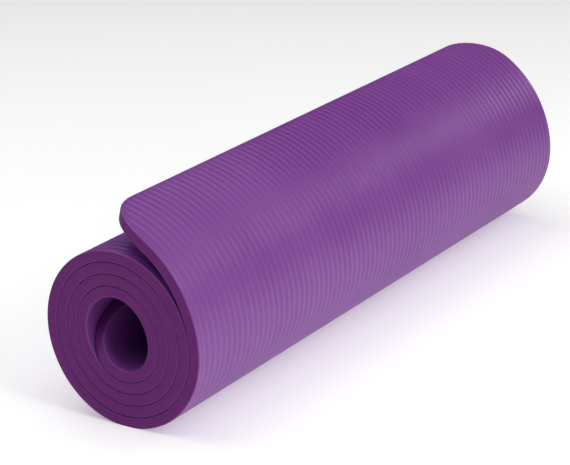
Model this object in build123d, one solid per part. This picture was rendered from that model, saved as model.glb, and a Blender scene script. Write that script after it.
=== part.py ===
from build123d import *
import os
from math import atan2, cos, degrees, radians, sin

os.makedirs("parts", exist_ok=True)

# A foam exercise mat, rolled up and lying on its side. Sizes are in mm and angles in degrees.
# The roll's axis runs along Y and its near end faces -Y. A winding angle starts at the sheet's
# inner end, in the core, and grows counter-clockwise as seen from the near end.

# The sheet
mat_width = 610.0  # across the mat, so it is the length of the roll
sheet_thickness = 9.0
corner_radius = 46.0  # of the sheet's corners, in the flat

# How it is wound
core_radius = 21.4  # from the roll's axis to the sheet's inner face, at the inner end
turn_gap = 0.35  # air between one turn and the next
inner_end_angle = 150.0  # where the inner end lies, from +X
wound_angle = 1655.0  # how far the sheet is wound before it begins to stand off the roll
oval_rise = 2.5  # how far the roll's long diameter stands out from a true spiral
oval_lean = 117.2  # direction of that long diameter, from +X
foot_sag = 1.0  # how far the foam flattens where the roll lies on the floor

# How the sheet stands off the roll, in an arc that is flatter than the winding
lift_radius = 103.5  # of the sheet's outer face there
lift_length = 77.0  # from the end of the winding to the line where the free end bends
flap_length = 60.0  # from that line to the end of the sheet

spline_step = 15.0  # degrees between the points that the spiral is drawn through

pitch = sheet_thickness + turn_gap
half_width = mat_width / 2


def outer_point(winding):
    """The wound sheet's outer face, as x and z from the roll's axis."""
    angle = inner_end_angle + winding
    oval = oval_rise * cos(radians(2 * (angle - oval_lean)))
    radius = core_radius + sheet_thickness + pitch * winding / 360 + oval
    return radius * cos(radians(angle)), radius * sin(radians(angle))


def heading(winding):
    """The direction in which the wound sheet runs, in degrees from +X."""
    step = 0.01
    before = outer_point(winding - step)
    after = outer_point(winding + step)
    return degrees(atan2(after[1] - before[1], after[0] - before[0]))


def inner_point(winding):
    """The wound sheet's inner face, square across its thickness from the outer one."""
    x, z = outer_point(winding)
    along = radians(heading(winding))
    return x - sheet_thickness * sin(along), z + sheet_thickness * cos(along)


def lifted_point(length, depth=0.0):
    """A point on the sheet where it stands off, so far past the winding and so deep in it."""
    x, z = outer_point(wound_angle)
    start = radians(heading(wound_angle))
    turned = start + length / lift_radius
    x += lift_radius * (sin(turned) - sin(start)) - depth * sin(turned)
    z += lift_radius * (cos(start) - cos(turned)) + depth * cos(turned)
    return x, z


def stops(start, end):
    """Winding angles from start to end, about spline_step apart."""
    count = max(2, round((end - start) / spline_step))
    return [start + (end - start) * i / count for i in range(count + 1)]


def wound_faces(start, end):
    """The outer and the inner line of the wound sheet."""
    points = stops(start, end)
    return Spline(*map(outer_point, points)), Spline(*map(inner_point, points))


def lifted_faces(start, end):
    """The outer and the inner line of the sheet where it stands off the roll."""
    lengths = (start, (start + end) / 2, end)
    outer = ThreePointArc(*[lifted_point(length) for length in lengths])
    inner = ThreePointArc(*[lifted_point(length, sheet_thickness) for length in lengths])
    return outer, inner


def sheet(*stretches):
    """The sheet along some joined stretches, at its full width."""
    first_outer, first_inner = stretches[0]
    last_outer, last_inner = stretches[-1]
    ends = [Line(first_outer @ 0, first_inner @ 0), Line(last_outer @ 1, last_inner @ 1)]
    outline = [edge for pair in stretches for edge in pair] + ends
    return extrude(Plane.XZ * make_face(outline), amount=half_width, both=True)


def rounded_end(length, bend):
    """The flat sheet from x = 0 to its end at x = length, with the corners' share of it."""
    bend = min(bend, 0.95 * length)
    straight = length - bend
    radii = (bend, corner_radius)
    low_centre = (straight, corner_radius - half_width)
    high_centre = (straight, half_width - corner_radius)
    low = EllipticalCenterArc(low_centre, *radii, start_angle=270, arc_size=90)
    high = EllipticalCenterArc(high_centre, *radii, start_angle=0, arc_size=90)
    sides = Polyline(high @ 1, (0, half_width), (0, -half_width), low @ 0)
    return make_face([low, Line(low @ 1, high @ 0), high, sides])


def make_roll():
    """All the wound turns, with the inner end's corners rounded and the foot flattened."""
    quarter = 90.0
    middle_radius = core_radius + sheet_thickness / 2
    bend = middle_radius * sin(min(corner_radius / middle_radius, radians(80)))
    reach = core_radius + sheet_thickness + pitch
    # The rounded outline lies along the sheet at its inner end and is cut straight through it.
    x, z = inner_point(0)
    run = radians(heading(0))
    outward = Vector(-cos(run), 0, -sin(run))
    end_plane = Plane(
        origin=Vector(x, 0, z) - outward * reach, x_dir=outward, z_dir=(-outward.Z, 0, outward.X)
    )
    end_prism = extrude(end_plane * rounded_end(reach, bend), amount=reach, both=True)
    inner_end = sheet(wound_faces(0, quarter)) & end_prism
    turns = sheet(wound_faces(quarter, wound_angle), lifted_faces(0, lift_length))
    roll = inner_end + turns
    box = roll.bounding_box()
    floor_block = Box(
        2 * box.size.X, 2 * mat_width, box.size.Z, align=(Align.CENTER, Align.CENTER, Align.MAX)
    )
    return roll - Pos(0, 0, box.min.Z + foot_sag) * floor_block


def make_free_end():
    """The last stretch of the sheet, with its two corners rounded."""
    x, z = lifted_point(lift_length)
    tip_x, tip_z = lifted_point(lift_length + flap_length)
    chord = Vector(tip_x - x, 0, tip_z - z)
    # The plane lies along the flap, with its normal through the thickness.
    flap_plane = Plane(origin=(x, 0, z), x_dir=chord, z_dir=Vector(-chord.Z, 0, chord.X))
    outline = flap_plane * rounded_end(chord.length, corner_radius)
    prism = extrude(outline, amount=2 * sheet_thickness, both=True)
    return sheet(lifted_faces(lift_length, lift_length + flap_length)) & prism


roll = make_roll()
free_end = make_free_end()

# The origin is on the floor, under the middle of the whole mat.
whole = roll.bounding_box().add(free_end.bounding_box())
to_floor = Vector(-whole.center().X, -whole.center().Y, -whole.min.Z)
nodes = {"rolled_mat": roll, "free_end": free_end}
for name, shape in nodes.items():
    placed = Pos(to_floor) * shape
    export_step(placed, f"parts/{name}.step")
    print(name, len(placed.solids()), round(placed.volume), placed.bounding_box())

hinge_x, hinge_z = lifted_point(lift_length)
print("roll axis", to_floor)
print("hinge line", to_floor + Vector(hinge_x, 0, hinge_z))
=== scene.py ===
from math import atan2, cos, pi, radians, sin

import bpy
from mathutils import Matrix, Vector


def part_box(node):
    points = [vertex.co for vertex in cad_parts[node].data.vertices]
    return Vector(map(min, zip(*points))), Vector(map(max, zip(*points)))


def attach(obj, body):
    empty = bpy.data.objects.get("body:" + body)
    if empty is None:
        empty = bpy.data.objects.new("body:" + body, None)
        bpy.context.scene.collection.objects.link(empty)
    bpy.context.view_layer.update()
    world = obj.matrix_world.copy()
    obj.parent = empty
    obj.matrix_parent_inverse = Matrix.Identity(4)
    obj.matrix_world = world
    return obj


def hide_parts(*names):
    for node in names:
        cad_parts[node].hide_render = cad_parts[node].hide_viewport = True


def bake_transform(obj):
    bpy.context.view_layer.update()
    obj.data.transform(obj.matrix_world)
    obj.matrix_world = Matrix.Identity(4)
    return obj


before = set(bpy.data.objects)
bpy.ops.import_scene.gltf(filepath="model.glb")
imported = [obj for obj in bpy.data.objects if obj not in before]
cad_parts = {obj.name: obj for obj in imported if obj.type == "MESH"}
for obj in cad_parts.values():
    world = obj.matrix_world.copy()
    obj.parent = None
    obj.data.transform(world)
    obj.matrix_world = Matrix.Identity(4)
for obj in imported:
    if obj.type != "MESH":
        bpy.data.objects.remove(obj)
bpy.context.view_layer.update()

mm = 0.001


class Wire:  # a socket that takes part in sums
    def __init__(self, maker, socket):
        self.maker = maker
        self.socket = socket

    def math(self, operation, *others):
        values = dict(enumerate((self, *others)))
        return self.maker.add("ShaderNodeMath", {"operation": operation}, values)

    def flipped(self, operation, other):
        return self.maker.add("ShaderNodeMath", {"operation": operation}, {0: other, 1: self})

    def __add__(self, other):
        return self.math("ADD", other)

    def __sub__(self, other):
        return self.math("SUBTRACT", other)

    def __rsub__(self, other):
        return self.flipped("SUBTRACT", other)

    def __mul__(self, other):
        return self.math("MULTIPLY", other)

    def __truediv__(self, other):
        return self.math("DIVIDE", other)

    def __rtruediv__(self, other):
        return self.flipped("DIVIDE", other)

    __radd__ = __add__
    __rmul__ = __mul__

    def atLeast(self, other):
        return self.math("MAXIMUM", other)

    def atMost(self, other):
        return self.math("MINIMUM", other)

    def clamped(self):
        return self.atLeast(0.0).atMost(1.0)


class Maker:  # makes the nodes of one tree
    def __init__(self, tree):
        self.tree = tree

    def add(self, kind, settings=None, values=None, out=0):
        node = self.tree.nodes.new(kind)
        for name, setting in (settings or {}).items():
            setattr(node, name, setting)
        for key, value in (values or {}).items():
            for one in value if isinstance(value, list) else [value]:
                self.feed(node.inputs[key], one)
        return Wire(self, node.outputs[out]) if node.outputs else node

    def feed(self, socket, value):
        if isinstance(value, Wire):
            self.tree.links.new(value.socket, socket)
        else:
            socket.default_value = value


def addObject(name, data):
    made = bpy.data.objects.new(name, data)
    bpy.context.scene.collection.objects.link(made)
    return made


def newMaterial(name):  # with an empty tree, and the maker of its nodes
    material = bpy.data.materials.new(name)
    material.use_nodes = True
    material.node_tree.nodes.clear()
    return material, Maker(material.node_tree)


# The mat as it is rolled. Lengths are in mm and angles in degrees. A winding angle starts at the
# inner end, in the core, and grows counter-clockwise as seen from the near end.
mat = {
    "width": 610.0,
    "thickness": 9.0,
    "corner": 46.0,
    "core": 21.4,  # from the roll's axis to the sheet's inner face, at the inner end
    "pitch": 9.35,  # from one turn to the next
    "innerEnd": 150.0,  # where the inner end lies, from +X
    "ovalRise": 2.5,  # how far the roll's long diameter stands out from a true spiral
    "ovalLean": 117.2,  # direction of that long diameter, from +X
    "wound": 1655.0,  # how far the sheet is wound before it begins to stand off the roll
    "liftRadius": 103.5,  # of its outer face from there on, flatter than the winding
    "liftLength": 77.0,  # from the end of the winding to the free end's hinge line
    "flapLength": 60.0,  # from that line to the end of the sheet
    "footSag": 1.0,  # how far the foam flattens where the roll lies on the floor
    "ribPitch": 7.66,
    "ribFade": 3.0,  # how far in from the rounded edge a rib reaches its whole depth
    "edgeRound": 1.4,
}


def outerPoint(winding):  # the wound sheet's outer face, from the roll's axis
    angle = radians(mat["innerEnd"] + winding)
    oval = mat["ovalRise"] * cos(2 * (angle - radians(mat["ovalLean"])))
    radius = mat["core"] + mat["thickness"] + mat["pitch"] * winding / 360 + oval
    return radius * cos(angle), radius * sin(angle)


def headingAt(winding):  # the direction in which the wound sheet runs
    step = 0.01
    before, after = outerPoint(winding - step), outerPoint(winding + step)
    return atan2(after[1] - before[1], after[0] - before[0])


def liftedPoint(length):  # the outer face where the sheet stands off the roll
    x, z = outerPoint(mat["wound"])
    start = headingAt(mat["wound"])
    turned = start + length / mat["liftRadius"]
    x += mat["liftRadius"] * (sin(turned) - sin(start))
    z += mat["liftRadius"] * (cos(start) - cos(turned))
    return x, z


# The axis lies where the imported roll's left side and its flattened foot put it.
lastTurn = [outerPoint(mat["wound"] - step) for step in range(360)]
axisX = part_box("rolled_mat")[0].x - min(x for x, z in lastTurn) * mm
axisZ = (-min(z for x, z in lastTurn) - mat["footSag"]) * mm
print("roll axis at", round(axisX, 5), round(axisZ, 5))

sheetInputs = {  # name: (socket kind, default), all lengths in metres and angles in radians
    "From": ("Float", 0.0),
    "To": ("Float", 1.0),
    "Rows": ("Int", 60),
    "Columns": ("Int", 60),
    "Width": ("Float", mat["width"] * mm),
    "Thickness": ("Float", mat["thickness"] * mm),
    "Corner Radius": ("Float", mat["corner"] * mm),
    "Edge Round": ("Float", mat["edgeRound"] * mm),
    "Inner End Rounded": ("Float", 0.0),
    "Free End Rounded": ("Float", 0.0),
    "Core Radius": ("Float", mat["core"] * mm),
    "Turn Pitch": ("Float", mat["pitch"] * mm),
    "Inner End Angle": ("Float", radians(mat["innerEnd"])),
    "Oval Rise": ("Float", mat["ovalRise"] * mm),
    "Oval Lean": ("Float", radians(mat["ovalLean"])),
    "Wound Angle": ("Float", radians(mat["wound"])),
    "Lift Radius": ("Float", mat["liftRadius"] * mm),
    "Axis X": ("Float", axisX),
    "Axis Z": ("Float", axisZ),
    "Rib Pitch": ("Float", mat["ribPitch"] * mm),
    "Rib Fade": ("Float", mat["ribFade"] * mm),
    "Outer Ribs": ("Float", 0.0),
    "Inner Ribs": ("Float", 0.0),
    "Foam": ("Material", None),
}
bevelRows = 5  # rows of the mesh that round off each edge
farOff = 10.0  # metres, past any corner: an end that stays square counts as this far away
mergeWithin = 0.000001  # metres
sharpAngle = radians(50.0)


def makeSheetTree():  # a stretch of the rolled sheet, as a closed skin with rounded edges and ribs
    tree = bpy.data.node_groups.new("rolledSheet", "GeometryNodeTree")
    tree.is_modifier = True
    tree.interface.new_socket("Geometry", in_out="OUTPUT", socket_type="NodeSocketGeometry")
    for name, (kind, default) in sheetInputs.items():
        item = tree.interface.new_socket(name, in_out="INPUT", socket_type="NodeSocket" + kind)
        if default is not None:
            item.default_value = default
    make = Maker(tree)
    given = tree.nodes.new("NodeGroupInput")
    size = {name: Wire(make, given.outputs[name]) for name in sheetInputs}

    def bevelled(row, step):  # how far in from the edge a row lies
        turn = ((row - 1.0) / (bevelRows - 1)).clamped() * (pi / 2)
        return (1.0 - turn.math("COSINE")) * size["Edge Round"] + (row - bevelRows).atLeast(0) * step

    def squared(value):
        return value * value

    gridInputs = {
        "Size X": 1.0,
        "Size Y": 1.0,
        "Vertices X": size["Rows"],
        "Vertices Y": size["Columns"],
    }
    grid = make.add("GeometryNodeMeshGrid", values=gridInputs)
    place = make.add("GeometryNodeInputPosition")

    def counted(axis, amount):  # the place of a point along one of the grid's axes, from 0
        share = make.add("ShaderNodeSeparateXYZ", values={0: place}, out=axis) + 0.5
        return (share * (amount - 1.0)).math("ROUND")

    row = counted(0, size["Rows"])
    column = counted(1, size["Columns"])
    rowFromEnd = size["Rows"] - 1.0 - row
    columnFromFar = size["Columns"] - 1.0 - column
    rowIn, columnIn = row.atMost(rowFromEnd), column.atMost(columnFromFar)

    # across the mat
    across = (size["Width"] - size["Edge Round"] * 2) / (size["Columns"] - 1.0 - 2 * bevelRows)
    sideIn = bevelled(columnIn, across)
    side = (column - columnFromFar).math("SIGN")

    # along the mat, where an angle at either end is turned into a length
    coreBend = size["Core Radius"] + size["Thickness"] / 2
    endInset = size["Edge Round"]
    firstAngle = size["From"] + endInset / coreBend
    lastAngle = size["To"] - endInset / size["Lift Radius"]
    steady = ((row - bevelRows) / (size["Rows"] - 1.0 - 2 * bevelRows)).clamped()
    fromStart = bevelled(row.atMost(bevelRows), 0.0)
    fromEnd = bevelled(rowFromEnd.atMost(bevelRows), 0.0)
    angle = firstAngle + (lastAngle - firstAngle) * steady
    angle = angle - (endInset - fromStart) / coreBend + (endInset - fromEnd) / size["Lift Radius"]
    alongStart = (angle - size["From"]) * coreBend + (1.0 - size["Inner End Rounded"]) * farOff
    alongEnd = (size["To"] - angle) * size["Lift Radius"] + (1.0 - size["Free End Rounded"]) * farOff

    # the two ends' corners are rounded in the flat, by easing the grid's square corner into a disc
    corner = size["Corner Radius"]
    apart = None
    sideShift = 0.0
    alongShifts = []
    for along in (alongStart, alongEnd):
        a = (1.0 - along / corner).clamped()
        b = (1.0 - sideIn / corner).clamped()
        roundA = a * (1.0 - squared(b) / 2).math("SQRT")
        roundB = b * (1.0 - squared(a) / 2).math("SQRT")
        alongShifts.append((a - roundA) * corner)
        sideShift = (b - roundB) * corner + sideShift
        inset = (1.0 - (squared(roundA) + squared(roundB)).math("SQRT")) * corner
        apart = inset if apart is None else apart.atMost(inset)
    angle = angle + alongShifts[0] / coreBend - alongShifts[1] / size["Lift Radius"]
    y = side * (size["Width"] / 2 - sideIn - sideShift)

    # the edge's round, and the outermost row, where both skins meet in the middle of the thickness
    edge = (apart / size["Edge Round"]).clamped()
    edgeDepth = size["Edge Round"] * (1.0 - (edge * (2.0 - edge)).atLeast(0.0).math("SQRT"))
    onWall = rowIn.atMost(columnIn).math("LESS_THAN", 0.5)

    # where the sheet runs
    wound = angle.atMost(size["Wound Angle"])
    turned = (angle - size["Wound Angle"]).atLeast(0.0)
    around = size["Inner End Angle"] + wound
    lean = (around - size["Oval Lean"]) * 2
    radius = size["Core Radius"] + size["Thickness"] + size["Turn Pitch"] * wound / (2 * pi)
    radius = radius + size["Oval Rise"] * lean.math("COSINE")
    growth = size["Turn Pitch"] / (2 * pi) - size["Oval Rise"] * lean.math("SINE") * 2
    cosine, sine = around.math("COSINE"), around.math("SINE")
    runX, runZ = growth * cosine - radius * sine, growth * sine + radius * cosine
    length = (squared(runX) + squared(runZ)).math("SQRT")
    runX, runZ = runX / length, runZ / length
    turnCos, turnSin = turned.math("COSINE"), turned.math("SINE")
    headX, headZ = runX * turnCos - runZ * turnSin, runZ * turnCos + runX * turnSin
    faceX = size["Axis X"] + radius * cosine + size["Lift Radius"] * (headZ - runZ)
    faceZ = size["Axis Z"] + radius * sine + size["Lift Radius"] * (runX - headX)

    # the ribs run along the mat and die out near its edges
    wave = 0.5 - (y / size["Rib Pitch"] * (2 * pi)).math("COSINE") / 2
    groove = wave * ((apart - size["Edge Round"]) / size["Rib Fade"]).clamped()

    # the material needs to know the cut edges, and the grooves, which it darkens with painted shade
    marks = {"cutEdge": 1.0 - edge, "groove": groove}
    for mark, value in marks.items():
        grid = make.add(
            "GeometryNodeStoreNamedAttribute",
            {"data_type": "FLOAT", "domain": "POINT"},
            {"Geometry": grid, "Name": mark, "Value": value},
        )

    skins = []
    for ribs, isInner in (("Outer Ribs", False), ("Inner Ribs", True)):
        depth = edgeDepth.atLeast(groove * size[ribs])
        if isInner:
            depth = size["Thickness"] - depth
        depth = depth + (size["Thickness"] / 2 - depth) * onWall
        x = faceX - headZ * depth
        z = (faceZ + headX * depth).atLeast(0.0)
        position = make.add("ShaderNodeCombineXYZ", values={0: x, 1: y, 2: z})
        skin = make.add("GeometryNodeSetPosition", values={"Geometry": grid, "Position": position})
        if isInner:
            skin = make.add("GeometryNodeFlipFaces", values={"Mesh": skin})
        skins.append(skin)
    both = make.add("GeometryNodeJoinGeometry", values={"Geometry": skins})
    closed = make.add(
        "GeometryNodeMergeByDistance", values={"Geometry": both, "Distance": mergeWithin}
    )
    smooth = make.add("GeometryNodeSetShadeSmooth", values={"Geometry": closed})
    real = make.add("GeometryNodeRealizeInstances", values={"Geometry": smooth})
    done = make.add("GeometryNodeSetMaterial", values={"Geometry": real, "Material": size["Foam"]})
    end = tree.nodes.new("NodeGroupOutput")
    tree.links.new(done.socket, end.inputs[0])
    return tree


sheetTree = makeSheetTree()


def makeStretch(name, foam, inputs):  # one stretch of the sheet, as a plain mesh
    holder = addObject(name + "Rule", bpy.data.meshes.new(name + "Rule"))
    modifier = holder.modifiers.new("rolledSheet", "NODES")
    modifier.node_group = sheetTree
    keys = {i.name: i.identifier for i in sheetTree.interface.items_tree if i.in_out == "INPUT"}
    for title, value in inputs.items():
        modifier[keys[title]] = value
    modifier[keys["Foam"]] = foam
    seen = holder.evaluated_get(bpy.context.evaluated_depsgraph_get())
    mesh = bpy.data.meshes.new_from_object(seen)
    mesh.name = name
    mesh.set_sharp_from_angle(angle=sharpAngle)
    bpy.data.objects.remove(holder)
    print(name, len(mesh.polygons), "faces")
    return addObject(name, mesh)


foamLook = {
    "skin": (0.2, 0.045, 0.285, 1.0),
    "skinPale": (0.228, 0.06, 0.315, 1.0),  # in broad patches
    "skinShadeAndGrain": (0.165, 0.034, 0.255, 1.0),  # painted shade between the ribs, and the foam's own darker grain
    "cut": (0.17, 0.009, 0.195, 1.0),  # on the sheet's edges, where the foam is open
    "cutDeep": (0.1, 0.005, 0.115, 1.0),  # in its pores
    "patchScale": 9.0,
    "patchDetail": 3.0,
    "patchRange": (0.35, 0.65),  # a range is the values that are spread out from 0 to 1
    "mottleScale": 420.0,
    "mottleDetail": 4.0,
    "mottleRange": (0.36, 0.64),
    "grainScale": 900.0,
    "grainDetail": 3.0,
    "grainRange": (0.6, 0.8),
    "poreScale": 1300.0,
    "poreRange": (0.55, 0.05),
    "cutRange": (0.55, 0.95),
    # how strongly the grooves between the ribs are darkened, as painted shade
    "paintedGrooveShade": 0.06,
    "grainShade": 0.3,
    "poreShade": 0.45,
    "mottleShade": 0.5,
    "roughness": 0.38,
    "cutRoughness": 0.4,  # added on the cut edges
    "patchRoughness": 0.04,  # added in the patches
    "specular": 0.45,
    "grainHeight": 0.3,
    "bumpStrength": 0.35,
    "bumpDepth": 0.0004,
}


def makeFoam():
    foam, make = newMaterial("purpleFoam")
    look = foamLook
    place = make.add("ShaderNodeTexCoord", out="Object")

    def noise(scale, detail):
        return make.add("ShaderNodeTexNoise", values={"Vector": place, "Scale": scale, "Detail": detail})

    def mark(name):
        return make.add("ShaderNodeAttribute", {"attribute_name": name}, out="Fac")

    def between(low, high, amount):
        kind = {"data_type": "RGBA", "clamp_factor": True}
        return make.add("ShaderNodeMix", kind, {0: amount, 6: low, 7: high}, out=2)

    def spread(value, limits):
        low, high = limits
        return ((value - low) / (high - low)).clamped()

    patches = spread(noise(look["patchScale"], look["patchDetail"]), look["patchRange"])
    mottle = spread(noise(look["mottleScale"], look["mottleDetail"]), look["mottleRange"])
    grain = noise(look["grainScale"], look["grainDetail"])
    pores = make.add(
        "ShaderNodeTexVoronoi", {"feature": "F1"}, {"Vector": place, "Scale": look["poreScale"]}
    )
    cut = spread(mark("cutEdge"), look["cutRange"])
    # painted shade: the grooves between the ribs are coloured darker, where shade falls in them
    paintedGrooveShade = mark("groove") * look["paintedGrooveShade"]
    grainShade = spread(grain, look["grainRange"]) * look["grainShade"]
    poreShade = spread(pores, look["poreRange"]) * look["poreShade"]
    skin = between(look["skin"], look["skinPale"], patches)
    skin = between(skin, look["skinShadeAndGrain"], paintedGrooveShade + grainShade)
    openFoam = between(look["cut"], look["cutDeep"], poreShade + mottle * look["mottleShade"])
    height = grain * (1.0 - cut) * look["grainHeight"] + pores * cut
    bump = make.add(
        "ShaderNodeBump",
        values={"Strength": look["bumpStrength"], "Distance": look["bumpDepth"], "Height": height},
    )
    roughness = look["roughness"] + cut * look["cutRoughness"] + patches * look["patchRoughness"]
    shaderInputs = {
        "Base Color": between(skin, openFoam, cut),
        "Roughness": roughness,
        "Specular IOR Level": look["specular"],
        "Normal": bump,
    }
    shader = make.add("ShaderNodeBsdfPrincipled", values=shaderInputs)
    make.add("ShaderNodeOutputMaterial", values={"Surface": shader})
    return foam


coreEnd = radians(430.0)  # how far the core can be looked into
outerStart = radians(1290.0)  # the turn that shows on the outside begins here
freeAngle = radians(mat["wound"]) + mat["liftLength"] / mat["liftRadius"]
endAngle = freeAngle + mat["flapLength"] / mat["liftRadius"]
ribDepth = 0.0008
coreRibDepth = 0.0002

stretches = {  # what each piece gives the tree, from the sheet's inner end to its free end
    "coreTurn": {
        "From": 0.0,
        "To": coreEnd,
        "Rows": 90,
        "Columns": 420,
        "Inner End Rounded": 1.0,
        "Inner Ribs": coreRibDepth,
    },
    "innerTurns": {
        "From": coreEnd,
        "To": outerStart,
        "Rows": 180,
        "Columns": 40,
    },
    "outerTurn": {
        "From": outerStart,
        "To": freeAngle,
        "Rows": 120,
        "Columns": 660,
        "Outer Ribs": ribDepth,
    },
    "freeEnd": {
        "From": freeAngle,
        "To": endAngle,
        "Rows": 34,
        "Columns": 660,
        "Free End Rounded": 1.0,
        "Outer Ribs": ribDepth,
        "Inner Ribs": ribDepth,
    },
}
freeBend = 38.0  # mm past the hinge line, for a point on the lifted sheet that is worked out but not used

foam = makeFoam()
coreTurn, innerTurns, outerTurn, freeEnd = [
    makeStretch(name, foam, inputs) for name, inputs in stretches.items()
]

for piece in (coreTurn, innerTurns, outerTurn):
    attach(piece, "roll")
    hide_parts("rolled_mat")

hingeX, hingeZ = liftedPoint(mat["liftLength"])
bentX, bentZ = liftedPoint(mat["liftLength"] + freeBend)
axisX + hingeX * mm
axisZ + hingeZ * mm
axisX + bentX * mm
axisZ + bentZ * mm
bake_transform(freeEnd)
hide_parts("free_end")
print("mat placed")

floorLook = {
    "size": 12.0,
    "shade": 0.9,
    "roughness": 0.8,
    "glow": 0.36,
}


def makeFloor():
    half = floorLook["size"] / 2
    corners = [(-half, -half, 0), (half, -half, 0), (half, half, 0), (-half, half, 0)]
    mesh = bpy.data.meshes.new("floor")
    mesh.from_pydata(corners, [], [(0, 1, 2, 3)])
    paint, make = newMaterial("paleFloor")
    shaderInputs = {
        "Base Color": (floorLook["shade"], floorLook["shade"], floorLook["shade"], 1.0),
        "Roughness": floorLook["roughness"],
        "Emission Color": (1.0, 1.0, 1.0, 1.0),
        "Emission Strength": floorLook["glow"],
    }
    shader = make.add("ShaderNodeBsdfPrincipled", values=shaderInputs)
    make.add("ShaderNodeOutputMaterial", values={"Surface": shader})
    mesh.materials.append(paint)
    addObject("floor", mesh)


def wayTo(azimuth, elevation):  # the azimuth is counted from the near end, -Y, towards +X
    a, e = radians(azimuth), radians(elevation)
    return sin(a) * cos(e), -cos(a) * cos(e), sin(e)


lampAim = (0.0, -0.2, 0.08)
lamps = {  # name: (azimuth, elevation, distance, side, power), in degrees, metres and watts
    "lowRight": (84.0, 12.0, 1.6, 0.8, 5.2),
    "leftFront": (300.0, 6.0, 1.0, 0.3, 0.7),
    "frontRight": (80.0, 40.0, 1.5, 0.5, 4.4),
    "backRight": (151.0, 24.0, 1.9, 0.35, 3.6),
    "overNear": (0.0, 88.0, 1.5, 2.4, 15.5),
    "highRight": (90.0, 68.0, 6.0, 2.8, 22.0),
    "highLeft": (272.0, 60.0, 2.0, 1.6, 10.0),
}


def makeLamps():  # square area lamps that all point at one place on the mat
    for name, (azimuth, elevation, distance, side, power) in lamps.items():
        way = Vector(wayTo(azimuth, elevation))
        data = bpy.data.lights.new(name, "AREA")
        data.energy = power
        data.size = side
        lamp = addObject(name, data)
        lamp.location = Vector(lampAim) + way * distance
        lamp.rotation_euler = (-way).to_track_quat("-Z", "Y").to_euler()


cameraPlace = {  # from the middle of the roll's axis, in metres and degrees
    "azimuth": 31.043,
    "elevation": 19.217,
    "distance": 2.0409,
    "aside": 0.03239,  # to the left, so that the roll stands right of the middle
    "rise": -0.00681,
    "lens": 150.59,
}


def makeCamera():
    a, e = radians(cameraPlace["azimuth"]), radians(cameraPlace["elevation"])
    back = wayTo(cameraPlace["azimuth"], cameraPlace["elevation"])
    right = (cos(a), sin(a), 0.0)
    up = (-sin(a) * sin(e), cos(a) * sin(e), cos(e))
    distance, aside, rise = (cameraPlace[key] for key in ("distance", "aside", "rise"))
    data = bpy.data.cameras.new("camera")
    data.lens = cameraPlace["lens"]
    camera = addObject("camera", data)
    camera.location = [
        middle + back[i] * distance - right[i] * aside + up[i] * rise
        for i, middle in enumerate((axisX, 0.0, axisZ))
    ]
    camera.rotation_euler = (pi / 2 - e, 0.0, a)
    bpy.context.scene.camera = camera


worldStrength = 0.02


def makeWorld():
    world = bpy.data.worlds.new("studio")
    world.use_nodes = True
    background = world.node_tree.nodes["Background"]
    background.inputs["Color"].default_value = (1.0, 1.0, 1.0, 1.0)
    background.inputs["Strength"].default_value = worldStrength
    bpy.context.scene.world = world


makeFloor()
makeLamps()
makeCamera()
makeWorld()
bpy.context.scene.view_settings.view_transform = "Standard"
print("floor, lamps and camera placed")
